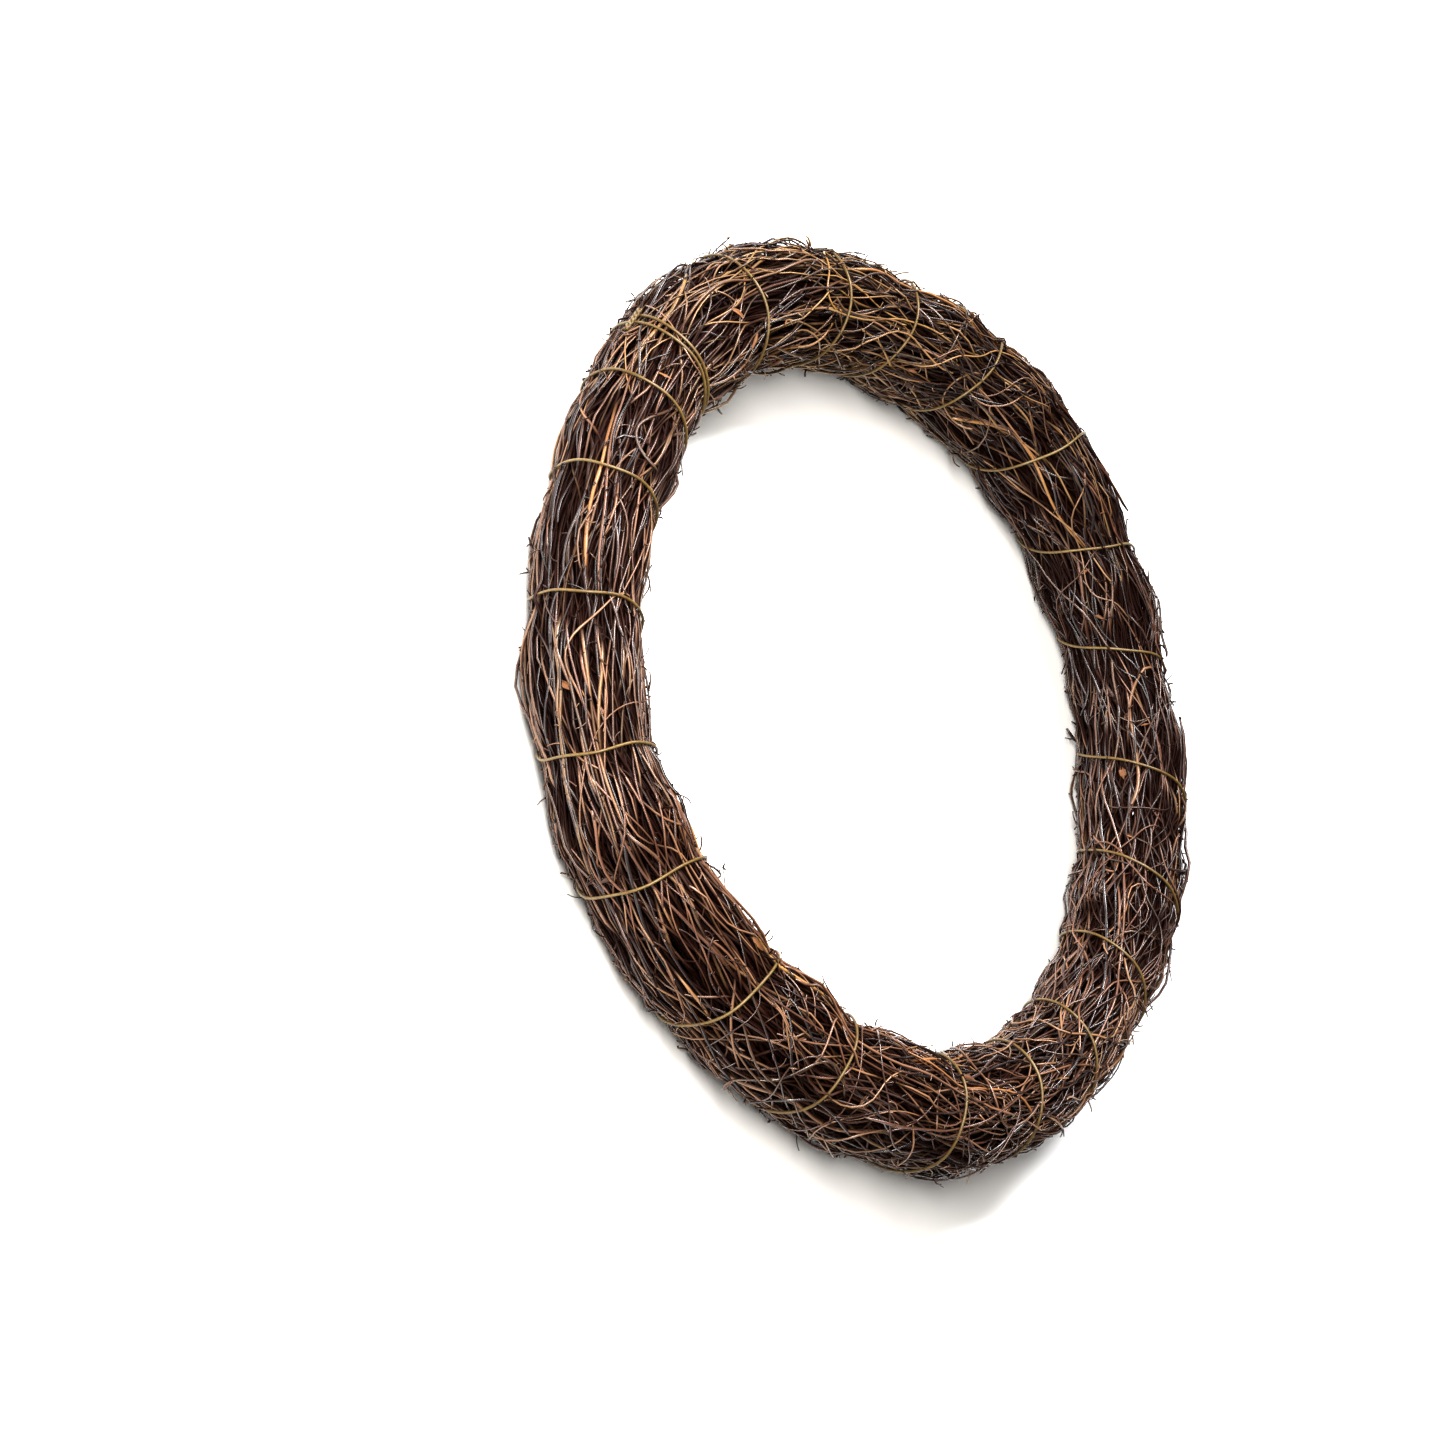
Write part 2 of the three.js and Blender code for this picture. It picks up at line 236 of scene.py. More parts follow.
def tubeSkins(batch, sides):
    points, radii = batch["points"], batch["radii"]
    count, steps, _ = points.shape
    shape = (batch.get("flat", 1.0), batch.get("cup", 0.0))
    flat, cup = (np.broadcast_to(share, (count,))[:, None, None, None] for share in shape)
    along = unit(np.gradient(points, axis=1))
    side = unit(np.cross(along, batch["ups"]))
    up = np.cross(side, along)
    turn = (lap * np.arange(sides) / sides)[None, None, :, None]
    rise = np.cos(turn) * flat + cup * np.sin(turn) ** 2
    skin = up[:, :, None, :] * rise + side[:, :, None, :] * np.sin(turn)
    skin = points[:, :, None, :] + radii[:, :, None, None] * skin
    ends = [points[:, end] + sign * along[:, end] * radii[:, end, None] * tips["length"]
            for end, sign in ((0, -1), (-1, 1))]
    return np.concatenate([skin.reshape(count, steps * sides, 3), np.stack(ends, axis=1)], axis=1)


# The faces of one tube: rings of quads, and a fan of triangles round each tip
def tubeFaces(steps, sides):
    here = np.arange(sides)
    after = (here + 1) % sides
    row = np.arange(steps - 1)[:, None] * sides
    quads = np.stack([row + here, row + after, row + sides + after, row + sides + here], axis=-1)
    last = (steps - 1) * sides
    tip = np.full(sides, steps * sides)
    fans = [np.stack([after, here, tip], axis=-1), np.stack([last + here, last + after, tip + 1], axis=-1)]
    return quads.reshape(-1, 4), np.concatenate(fans)


# Each corner's distance along its tube and its place round it
def tubeMaps(run, sides):
    low, high = (np.repeat(edge[:, :, None], sides, axis=2) for edge in (run[:, :-1], run[:, 1:]))
    left = np.broadcast_to(np.arange(sides) / sides, low.shape)
    right = left + 1 / sides
    quadMap = np.stack(
        [np.stack([low, low, high, high], axis=-1), np.stack([left, right, right, left], axis=-1)], axis=-1)
    left, right = left[:, 0], right[:, 0]
    first, final = 0 * left, 0 * left + run[:, -1:]
    middle = 0 * left + 0.5
    fans = [
        np.stack([np.stack([end, end, end + tip], axis=-1), np.stack([one, other, middle], axis=-1)], axis=-1)
        for end, tip, one, other in ((first, -tips["run"], right, left), (final, tips["run"], left, right))
    ]
    return quadMap, np.concatenate(fans, axis=1)


def makeTubes(batch, sides):
    points = batch["points"]
    count, steps, _ = points.shape
    verts = tubeSkins(batch, sides)
    quads, tris = tubeFaces(steps, sides)
    shift = (np.arange(count) * verts.shape[1])[:, None, None]
    run = np.cumsum(np.linalg.norm(np.diff(points, axis=1), axis=-1), axis=1)
    run = np.concatenate([np.zeros((count, 1)), run], axis=1)
    quadMap, triMap = tubeMaps(run, sides)
    # A long tube's skin is cut into several strips
    cut = batch.get("cut", steps - 1)
    strips = (steps - 2) // cut + 1
    opens = np.arange(strips) * cut
    closes = np.minimum(opens + cut, steps - 1)
    strip = np.arange(count)[:, None] * strips
    values = {}
    for name, value in batch["values"].items():
        value = value if value.ndim == 2 else value[:, None] + np.zeros(steps)
        value = np.concatenate([np.repeat(value, sides, axis=1), value[:, :1], value[:, -1:]], axis=1)
        values[name] = value.ravel()
    return {
        "verts": verts.reshape(-1, 3),
        "quads": (quads[None] + shift).reshape(-1, 4),
        "tris": (tris[None] + shift).reshape(-1, 3),
        "quadMap": quadMap.reshape(-1, 4, 2),
        "triMap": triMap.reshape(-1, 3, 2),
        "quadStrip": (strip + np.repeat(np.arange(steps - 1), sides) // cut).ravel(),
        "triStrip": np.repeat(strip + np.array([0, strips - 1]), sides, axis=1).ravel(),
        "stripStarts": run[:, opens].ravel(),
        "stripLengths": (run[:, closes] - run[:, opens]).ravel(),
        "values": values,
    }


# Lays every strip of skin out in rows on one square map
sheet = {"gap": 2 / 1024, "spare": 1.2 * mm, "row": 6 / 1024, "firstTry": 1.2, "shrink": 0.97}


def packStrips(lengths, height):
    gap, spare = sheet["gap"], sheet["spare"]
    scale = sheet["firstTry"] * (1 - height) / (height + gap) / lengths.sum()
    scale = min(scale, (1 - 3 * gap) / (lengths.max() + spare))
    while True:
        starts, row, reached = [], 0, gap
        for length in lengths:
            width = (length + spare) * scale + gap
            if reached + width > 1:
                row, reached = row + 1, gap
            starts.append((reached + spare / 2 * scale, gap / 2 + row * (height + gap)))
            reached += width
        if (row + 1) * (height + gap) <= 1:
            return np.array(starts), scale
        scale *= sheet["shrink"]


def makeMesh(name, verts, quads, tris):
    mesh = bpy.data.meshes.new(name)
    mesh.vertices.add(len(verts))
    mesh.vertices.foreach_set("co", verts.astype(np.float32).ravel())
    mesh.loops.add(quads.size + tris.size)
    mesh.loops.foreach_set("vertex_index", np.concatenate([quads.ravel(), tris.ravel()]).astype(np.int32))
    mesh.polygons.add(len(quads) + len(tris))
    loops = np.concatenate([np.arange(len(quads)) * 4, quads.size + np.arange(len(tris)) * 3])
    mesh.polygons.foreach_set("loop_start", loops.astype(np.int32))
    mesh.update(calc_edges=True)
    mesh.validate()
    mesh.polygons.foreach_set("use_smooth", np.ones(len(mesh.polygons), bool))
    return mesh


def joinTubes(name, parts, material, height=sheet["row"]):
    starts, scale = packStrips(np.concatenate([part["stripLengths"] for part in parts]), height)
    size = np.array([scale, height])
    quads, tris, flatQuads, flatTris = [], [], [], []
    base = strip = 0
    for part in parts:
        quads.append(part["quads"] + base)
        tris.append(part["tris"] + base)
        base += len(part["verts"])
        for corners, which, flat in (("quadMap", "quadStrip", flatQuads), ("triMap", "triStrip", flatTris)):
            offset = np.stack([part["stripStarts"][part[which]], 0 * part[which]], axis=-1)
            start = starts[strip + part[which]]
            flat.append((part[corners] - offset[:, None]) * size + start[:, None])
        strip += len(part["stripLengths"])
    quads, tris = np.concatenate(quads), np.concatenate(tris)
    mesh = makeMesh(name, np.concatenate([part["verts"] for part in parts]), quads, tris)
    mapped = [part["quadMap"] for part in parts] + [part["triMap"] for part in parts]
    for label, corners in (("OFBake", flatQuads + flatTris), ("skin", mapped)):
        corners = np.concatenate([corner.reshape(-1, 2) for corner in corners])
        mesh.uv_layers.new(name=label).data.foreach_set("uv", corners.astype(np.float32).ravel())
    mesh.uv_layers["OFBake"].active_render = True
    for label in parts[0]["values"]:
        values = np.concatenate([part["values"][label] for part in parts])
        mesh.attributes.new(label, "FLOAT", "POINT").data.foreach_set("value", values.astype(np.float32))
    piece = bpy.data.objects.new(name, mesh)
    bpy.context.scene.collection.objects.link(piece)
    mesh.materials.append(material)
    print(name, "-", strip, "strips,", 2 * len(quads) + len(tris), "triangles")
    return piece


# How the twigs change round the ring: a usual value, then how much it changes, at how many
# degrees round the ring, and over how many radians
regions = {
    "unruly": (1.55, (-0.97, 168, 0.66), (-0.5, 15, 0.55), (-0.35, 92, 0.5)),  # calm left, tangled bottom
    # twig tones by place: darker at the right and upper left, lighter at the top and bottom
    "toneByPlace": (1, (-0.5, 6, 0.66), (-0.09, 218, 0.4), (-0.2, 138, 0.33), (0.26, 275, 0.7), (0.24, 88, 0.5)),
    "stout": (1, (0.32, 175, 0.75), (0.24, -5, 0.7)),  # thicker at the left and right
    "gloom": (0.5, (1.35, 185, 0.85), (1.7, 0, 0.72), (1.2, 136, 0.36)),  # how dark the painted shade of the gaps is
    "shine": (1, (-0.35, -25, 1.0), (-0.22, 178, 0.8), (-0.2, 142, 0.3), (0.45, 262, 0.6)),
    "golden": (0.02, (0.74, 90, 0.9), (0.1, 175, 0.6), (0.08, 305, 0.45)),  # rather than copper brown
}
goldenSpread = 0.3


def regional(what, around):
    usual, *changes = regions[what]
    total = usual + 0 * around
    for amount, degrees, width in changes:
        total = total + amount * bell(wrapped(around - math.radians(degrees)), width)
    return total


# Patches where the surface lies deeper between the twigs
hollows = {
    "seed": 8,
    "count": 18,
    "depth": 1.7 * mm,
    "from": 0.35,
    "most": 1.6,
    "calmFrom": 1.5,  # where the twigs are less unruly than this they are shallower
    "wavesRound": (10, 48),
    "wavesAcross": (-5, 6),
}


def makeHollows():
    draws = np.random.default_rng(hollows["seed"])
    count = hollows["count"]
    counts = [draws.integers(*hollows[key], count) for key in ("wavesRound", "wavesAcross")]
    return list(zip(*counts, draws.uniform(0, lap, count)))


hollowWaves = makeHollows()


def hollowDepth(around, section):
    total = 0 * around
    for alongRing, across, phase in hollowWaves:
        total = total + np.sin(alongRing * around + across * section + phase)
    total = total / math.sqrt(hollows["count"] / 2)
    depth = hollows["depth"] * np.clip(total - hollows["from"], 0, hollows["most"])
    return depth * np.minimum(regional("unruly", around) / hollows["calmFrom"], 1)


# What the twigs of all layers have in common
habit = {
    "sectionStep": 0.618034,  # the golden section, which spreads them evenly round the bundle
    "sectionStray": 0.35,
    "swayShare": (0.3, 1.3),
    "kinkShare": 0.16,  # of the steps
    "weaveLength": (25 * mm, 60 * mm),
    "filled": 0.7,  # hollows are this much shallower under a wire
    "filledReach": 9 * mm,
    "bulgeReach": 13 * mm,  # from a wire to where they bulge
    "looseLift": 0.5 * mm,
    "looseSpan": (6 * mm, 16 * mm),
    "dive": 2.6 * mm,  # ends that aren't loose go into the bundle
    "diveSpan": (12 * mm, 30 * mm),
    "endCurve": 1.7,
    "thinness": 1.5,  # more of them are thin than thick
    "jointSwell": 0.16,
    "jointShare": 0.1,
    "taper": (0.1, 0.45),
    "endRadius": 0.65,
    "pressReach": 3.2 * mm,  # of the wire's press on them
    "pressGap": 0.1 * mm,
    "fullShade": 6 * mm,  # depth at which a gap's painted shade is full
}


def forEach(draw, count, limits):
    return draw.uniform(*limits, count)[:, None]


# Angles round the ring, more of them where it is tangled
def spreadRound(draw, count, gather):
    grid = np.linspace(0, lap, 721)  # half a degree apart
    share = np.cumsum(regional("unruly", grid) ** gather)
    even = (np.arange(count) + draw.random(count)) / count
    return np.interp(even, share / share[-1], grid)


# Each twig's course: its own drift, a slow sway, a steady curl and small kinks at its joints
def wander(draw, values, run, length, stray):
    count, steps = run.shape
    heading = np.radians(values["stray"]) * stray * draw.normal(size=(count, 1))
    sway = np.radians(values["sway"]) * stray * forEach(draw, count, habit["swayShare"])
    waves = lap * run / forEach(draw, count, values["swayLength"])
    heading = heading + sway * np.sin(waves + forEach(draw, count, (0, lap)))
    curl = np.radians(forEach(draw, count, values.get("curl", (0, 0)))) * (np.linspace(0, 1, steps) - 0.5)
    heading = heading + curl * draw.choice((-1, 1), (count, 1))
    kinks = draw.normal(size=(count, steps)) * (draw.random((count, steps)) < habit["kinkShare"])
    kinks = np.cumsum(kinks, axis=1) * np.radians(values["kink"]) * np.minimum(stray, 1)
    heading = heading + kinks - kinks.mean(axis=1, keepdims=True)
    step = length / (steps - 1)
    aside = np.cumsum(np.sin(heading), axis=1) * step
    ahead = np.cumsum(np.cos(heading), axis=1) * step * draw.choice((-1, 1), (count, 1))
    return aside - aside.mean(axis=1, keepdims=True), ahead


# How deep they lie: they weave, sink into the hollows and bulge between the wires, and their
# ends dive into the bundle or come loose
def sink(draw, values, deep, run, length, stray, around, turned):
    count = len(run)
    weave = forEach(draw, count, values["weave"]) * np.minimum(stray, 1)
    waves = lap * run / forEach(draw, count, habit["weaveLength"])
    deep = deep + weave * np.sin(waves + forEach(draw, count, (0, lap)))
    wireAway = fromWire(around, turned)
    clear = 1 - habit["filled"] * bell(wireAway, habit["filledReach"])
    deep = deep + values["hollow"] * hollowDepth(around, turned) * clear
    bulge = forEach(draw, count, values.get("bulge", (0, 0)))
    deep = deep - bulge * (1 - bell(wireAway, habit["bulgeReach"]))
    for fromEnd in (run, length - run):
        loose = draw.random((count, 1)) < values["looseEnds"]
        lift = np.where(loose, -forEach(draw, count, (habit["looseLift"], values["lift"])), habit["dive"])
        span = np.where(loose, *(forEach(draw, count, habit[key]) for key in ("looseSpan", "diveSpan")))
        deep = deep + lift * np.clip(1 - fromEnd / span, 0, 1) ** habit["endCurve"]
    return deep


def twigRadii(draw, values, start):
    count, steps = values["count"], values["steps"]
    thin, thick = values["radius"]
    radius = thin + (thick - thin) * draw.random((count, 1)) ** habit["thinness"]
    radius = radius * regional("stout", start)[:, None]
    joints = 1 + habit["jointSwell"] * (draw.random((count, steps)) < habit["jointShare"])
    radii = radius * (1 - forEach(draw, count, habit["taper"]) * np.linspace(0, 1, steps)) * joints
    radii[:, [0, -1]] *= habit["endRadius"]
    return radii


# Under the wire they are pressed down, but a few lie over it
def press(draw, values, deep, radii, around, turned):
    top = bundleReach(around, turned)
    reach = top - deep - radii
    near = bell(fromWire(around, turned), habit["pressReach"])
    over = draw.random((len(deep), 1)) < values.get("over", 0)
    lifted = np.where(over, wire["lift"] + wire["radius"] + 2 * radii, -habit["pressGap"])
    tall = top + lifted - reach - radii
    return reach + near * np.where(over, np.maximum(tall, 0), np.minimum(tall, 0))


# What the bark takes from each twig
def twigLook(draw, tone, deep, around, start):
    golden = regional("golden", start) + goldenSpread * draw.normal(size=start.shape)
    return {
        "tone": tone,
        # how deep it lies in the painted shade of the gaps
        "depth": np.clip(deep / habit["fullShade"] * regional("gloom", around), 0, 1),
        "golden": np.clip(golden, 0, 1),
        "shine": regional("shine", start),
    }


def overFloor(points, radii, clearance=1.02):
    points[..., 2] = np.maximum(points[..., 2], radii * clearance)
    return points


# Twigs laid along the bundle
def layTwigs(draw, values):
    count, steps = values["count"], values["steps"]
    start = spreadRound(draw, count, values.get("gather", 0))
    section = np.arange(count) * habit["sectionStep"] + habit["sectionStray"] * draw.random(count)
    section = lap * (section % 1)
    stray = regional("unruly", start)[:, None]
    length = forEach(draw, count, values["length"])
    run = np.linspace(0, 1, steps) * length
    aside, ahead = wander(draw, values, run, length, stray)
    deep = forEach(draw, count, values["depth"])
    turned = section[:, None] + aside / (ring["bundle"] - deep)
    lane = ring["radius"] + (ring["bundle"] - deep) * np.cos(turned)
    around = start[:, None] + ahead / lane
    deep = sink(draw, values, deep, run, length, stray, around, turned)
    tone = draw.uniform(*values["tones"], count) * regional("toneByPlace", start)
    radii = twigRadii(draw, values, start)
    reach = press(draw, values, deep, radii, around, turned)
    tone = np.minimum(tone, values["tones"][1])
    return {
        "points": overFloor(place(around, turned, reach), radii),
        "ups": outwards(around, turned),
        "radii": radii,
        "deep": deep,
        "values": twigLook(draw, tone, deep, around, start),
    }


# Materials. Effects that several of them use are node groups.


# Inputs that start without a value are places on the skin, all others are plain numbers
def newGroup(name, inputs, *outputs):
    group = bpy.data.node_groups.new(name, "ShaderNodeTree")
    for label, value in inputs.items():
        kind = "NodeSocketVector" if value is None else "NodeSocketFloat"
        socket = group.interface.new_socket(label, in_out="INPUT", socket_type=kind)
        if value is not None:
            socket.default_value = value
    for label in outputs:
        group.interface.new_socket(label, in_out="OUTPUT", socket_type="NodeSocketFloat")
    return group, group.nodes.new("NodeGroupInput").outputs, group.nodes.new("NodeGroupOutput")


def addNode(tree, kind, settings=None, **inputs):
    made = tree.nodes.new(kind)
    for label, value in (settings or {}).items():
        setattr(made, label, value)
    setInputs(tree, made, inputs)
    return made


# Inputs are named, or numbered as i0, i1 and so on
def setInputs(tree, made, inputs):
    for label, value in inputs.items():
        numbered = label[0] == "i" and label[1:].isdigit()
        socket = made.inputs[int(label[1:]) if numbered else label]
        if isinstance(value, bpy.types.NodeSocket):
            tree.links.new(value, socket)
        else:
            socket.default_value = value


def addRamp(tree, fac, stops):
    made = tree.nodes.new("ShaderNodeValToRGB")
    while len(made.color_ramp.elements) < len(stops):
        made.color_ramp.elements.new(0.5)
    for element, (position, color) in zip(made.color_ramp.elements, stops):
        element.position = position
        element.color = (*color, 1)
    tree.links.new(fac, made.inputs["Fac"])
    return made.outputs["Color"]


def addMath(tree, operation, first, second=0.0, clamp=False):
    settings = {"operation": operation, "use_clamp": clamp}
    return addNode(tree, "ShaderNodeMath", settings, i0=first, i1=second).outputs[0]


def addMix(tree, fac, first, second):
    return addNode(tree, "ShaderNodeMix", {"data_type": "RGBA"}, i0=fac, i6=first, i7=second).outputs[2]


def times(tree, first, second, clamp=False):
    return addMath(tree, "MULTIPLY", first, second, clamp)


def minus(tree, first, second, clamp=False):
    return addMath(tree, "SUBTRACT", first, second, clamp)


def between(tree, limits, share):
    low, high = limits
    return addMath(tree, "ADD", low, times(tree, share, high - low))


# Streaks of the grain make the tone lighter and darker
def streaked(tree, tone, grain, amount):
    return addMath(tree, "ADD", tone, times(tree, minus(tree, grain["Streak"], 0.5), amount))


# A flat colour laid over another where the mask says
def tint(tree, color, mask, share, over):
    return addMix(tree, times(tree, mask, share), color, (*over, 1))


def bump(tree, height, strength, distance):
    return addNode(tree, "ShaderNodeBump", Height=height, Strength=strength, Distance=distance).outputs[0]


def attribute(tree, name):
    return addNode(tree, "ShaderNodeAttribute", {"attribute_name": name}).outputs["Fac"]


# Stretches are for each metre along the skin and for each turn round it
skin = {
    "streaks": (110, 7, 1),
    "flecks": (420, 4, 1),
    "fleckEdges": (0.06, 0.2),
    "fleckDepth": 0.08,
    "peels": (30, 2.2, 1),
    "peelRoughness": 0.6,
    "peelSharpness": 12.0,
    "dustFrom": 0.45,
    "dustSharpness": 3.5,
    # how quickly the painted shade darkens the sides of a tube
    "shadedFlankSharpness": 1.4,
    "detail": 3.0,
    "apart": 37.0,  # metres of skin from the lightest twig's to the darkest one's
}


def stretched(tree, where, key):
    return addNode(tree, "ShaderNodeMapping", i0=where, i3=skin[key]).outputs[0]


def noise(tree, where, scale, roughness=0.5):
    inputs = {"Vector": where, "Scale": scale, "Detail": skin["detail"], "Roughness": roughness}
    return addNode(tree, "ShaderNodeTexNoise", **inputs).outputs[0]


# Fine grain: streaks that run along the skin, and dark flecks across it
def grainGroup():
    inputs = {"Map": None, "Fineness": 1.0}
    group, entry, leave = newGroup("skinGrain", inputs, "Streak", "Fleck", "Height")
    fineness = entry["Fineness"]
    streak = noise(group, stretched(group, entry["Map"], "streaks"), fineness)
    small = stretched(group, entry["Map"], "flecks")
    fleck = addNode(group, "ShaderNodeTexVoronoi", Vector=small, Scale=fineness).outputs["Distance"]
    inside, outside = skin["fleckEdges"]
    mask = addRamp(group, fleck, [(inside, (1, 1, 1)), (outside, (0, 0, 0))])
    height = minus(group, streak, times(group, mask, skin["fleckDepth"]))
    setInputs(group, leave, {"Streak": streak, "Fleck": mask, "Height": height})
    return group


# Patches where the outer skin has split and peeled off
def peelGroup():
    group, entry, leave = newGroup("peeledSkin", {"Map": None, "Amount": 0.3}, "Mask")
    cracks = noise(group, stretched(group, entry["Map"], "peels"), 1.0, skin["peelRoughness"])
    edge = addMath(group, "ADD", cracks, minus(group, entry["Amount"], 1.0))
    setInputs(group, leave, {"Mask": times(group, edge, skin["peelSharpness"], True)})
    return group


# Pale dust that settles in patches
def dustGroup():
    group, entry, leave = newGroup("dust", {"Amount": 0.2, "Fineness": 60.0}, "Mask")
    where = addNode(group, "ShaderNodeTexCoord").outputs["Object"]
    over = minus(group, noise(group, where, entry["Fineness"]), skin["dustFrom"])
    mask = times(group, over, skin["dustSharpness"], True)
    setInputs(group, leave, {"Mask": times(group, mask, entry["Amount"])})
    return group


# Painted shade: a tube's skin is darker the further it turns from the bundle's outside, darkest on the side
# turned into the bundle
def shadedFlankGroup():
    group, entry, leave = newGroup("paintedFlankShade", {"Map": None}, "Mask")
    turn = addNode(group, "ShaderNodeSeparateXYZ", Vector=entry["Map"]).outputs[1]
    facing = addMath(group, "COSINE", times(group, turn, lap))
    mask = times(group, minus(group, 1.0, facing), skin["shadedFlankSharpness"], True)
    setInputs(group, leave, {"Mask": mask})
    return group


groups = {"grain": grainGroup(), "peel": peelGroup(), "dust": dustGroup(), "shadedFlank": shadedFlankGroup()}


def placeGroup(tree, key, **inputs):
    return addNode(tree, "ShaderNodeGroup", {"node_tree": groups[key]}, **inputs).outputs


def newMaterial(name):
    material = bpy.data.materials.new(name)
    material.use_nodes = True
    return material, material.node_tree, material.node_tree.nodes["Principled BSDF"]


def skinMap(tree, tone):
    where = addNode(tree, "ShaderNodeUVMap", {"uv_map": "skin"}).outputs["UV"]
    apart = addNode(tree, "ShaderNodeCombineXYZ", X=times(tree, tone, skin["apart"])).outputs[0]
    return addNode(tree, "ShaderNodeVectorMath", {"operation": "ADD"}, i0=where, i1=apart).outputs[0]


bark = {
    "tones": [  # from the darkest twigs to the lightest
        (0.0, (0.012, 0.009, 0.010)), (0.20, (0.031, 0.0155, 0.0128)), (0.34, (0.062, 0.027, 0.0172)),
        (0.46, (0.106, 0.043, 0.0225)), (0.60, (0.153, 0.071, 0.041)), (0.75, (0.220, 0.111, 0.063)),
        (0.90, (0.285, 0.163, 0.098)), (1.0, (0.330, 0.155, 0.058)),
    ],
    "goldenTones": [
        (0.0, (0.012, 0.012, 0.014)), (0.20, (0.028, 0.023, 0.023)), (0.34, (0.053, 0.040, 0.032)),
        (0.46, (0.092, 0.062, 0.036)), (0.60, (0.148, 0.093, 0.044)), (0.75, (0.225, 0.137, 0.058)),
        (0.90, (0.310, 0.186, 0.072)), (1.0, (0.380, 0.210, 0.060)),
    ],
    "streaks": 0.3,
    "peeled": (0.36, 0.16, 0.065),
    "peel": 0.37,  # how much of it has peeled
    "peelShare": 0.7,
    "peelRough": 0.15,
    "peelDull": 0.5,
    "dust": (0.30, 0.25, 0.23),
    "dustAmount": 0.1,
    "dustFineness": 70.0,
    "fleckAndShade": (0.0145, 0.0033, 0.0014),  # of flecks, and of the painted shade in gaps and on twigs' sides
    "fleck": 0.6,
    # how much painted shade darkens the sides of a twig
    "shadedFlank": 0.8,
    "roughness": (0.45, 0.65),
    "specular": 0.12,
    "gloss": 1.0,
    "paleDull": 0.35,  # the lightest twigs are this much less glossy
    "gapDull": 1.2,
    "glossRoughness": 0.27,
    "glossIor": 1.65,
    "relief": 0.08,
    "reliefDepth": 0.15 * mm,
    "shade": [(0.04, 0), (0.18, 0.5), (0.38, 0.93), (0.58, 1)],  # painted shade of a gap: its depth and its darkness
}


def barkMaterial(name, values):
    material, tree, shader = newMaterial(name)
    tone = attribute(tree, "tone")
    where = skinMap(tree, tone)
    grain = placeGroup(tree, "grain", Map=where, Fineness=1.0)
    peel = placeGroup(tree, "peel", Map=where, Amount=values["peel"])["Mask"]
    dust = placeGroup(tree, "dust", Amount=values["dustAmount"], Fineness=values["dustFineness"])["Mask"]
    shadedFlank = placeGroup(tree, "shadedFlank", Map=where)["Mask"]
    shade = addRamp(tree, attribute(tree, "depth"), [(depth, (dark,) * 3) for depth, dark in values["shade"]])
    light = streaked(tree, tone, grain, values["streaks"])
    copper, golden = (addRamp(tree, light, values[key]) for key in ("tones", "goldenTones"))
    color = addMix(tree, attribute(tree, "golden"), copper, golden)
    color = tint(tree, color, peel, values["peelShare"], values["peeled"])
    color = addMix(tree, dust, color, (*values["dust"], 1))
    color = tint(tree, color, grain["Fleck"], values["fleck"], values["fleckAndShade"])
    # painted shade on the sides of each twig
    color = tint(tree, color, shadedFlank, values["shadedFlank"], values["fleckAndShade"])
    # painted shade in the gaps, darker the deeper a twig lies
    color = addMix(tree, shade, color, (*values["fleckAndShade"], 1))
    rough = between(tree, values["roughness"], grain["Streak"])
    rough = addMath(tree, "ADD", rough, times(tree, peel, values["peelRough"]))
    # The smooth skin is glossy where nothing lies over it
    smooth = minus(tree, 1.0, times(tree, peel, values["peelDull"]))
    bare = minus(tree, 1.0, times(tree, shade, values["gapDull"]), True)
    glossy = minus(tree, values["gloss"], times(tree, tone, values["paleDull"]))
    glossy = times(tree, glossy, attribute(tree, "shine"))
    gloss = times(tree, times(tree, smooth, bare), glossy)
    relief = bump(tree, grain["Height"], values["relief"], values["reliefDepth"])
    setInputs(tree, shader, {
        "Base Color": color, "Roughness": rough, "Normal": relief, "Specular IOR Level": values["specular"],
        "Coat Weight": gloss, "Coat Roughness": values["glossRoughness"], "Coat IOR": values["glossIor"],
    })
    return material


barkLook = barkMaterial("vineBark", bark)
laid = {}


def makeTwigs(name, layer):
    draw = np.random.default_rng(layer["seed"])
    laid[name] = [layTwigs(draw, values) for values in layer["batches"]]
    piece = joinTubes(name, [makeTubes(batch, layer["sides"]) for batch in laid[name]], barkLook)
    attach(piece, "root")
    return piece


# In each batch of a layer depth is from the outer twigs' tops inwards, angles are degrees and a
# tone is from dark 0 to light 1. With gather above 0 more of them lie where it is tangled, over
# is the share that lies over the wire.

# The thick old twigs deep in the bundle, and the layer over them
innerTwigs = {
    "seed": 3,
    "sides": 4,
    "batches": [
        {"count": 190, "steps": 26, "length": (0.18, 0.28), "depth": (5.6 * mm, 9 * mm), "stray": 7,
         "sway": 4, "swayLength": (60 * mm, 120 * mm), "kink": 2, "weave": (0, 1 * mm), "hollow": 0,
         "radius": (1.2 * mm, 1.6 * mm), "looseEnds": 0, "lift": 1 * mm, "tones": (0, 0.5)},
        {"count": 300, "steps": 26, "length": (0.12, 0.24), "depth": (3.4 * mm, 5.8 * mm), "stray": 12,
         "sway": 7, "swayLength": (50 * mm, 100 * mm), "kink": 3, "weave": (0, 1.2 * mm), "hollow": 0.5,
         "radius": (0.6 * mm, 0.95 * mm), "looseEnds": 0, "lift": 1 * mm, "tones": (0, 0.85)},
    ],
}
piece = makeTwigs("twigs_inner", innerTwigs)
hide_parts(*bunchNodes)

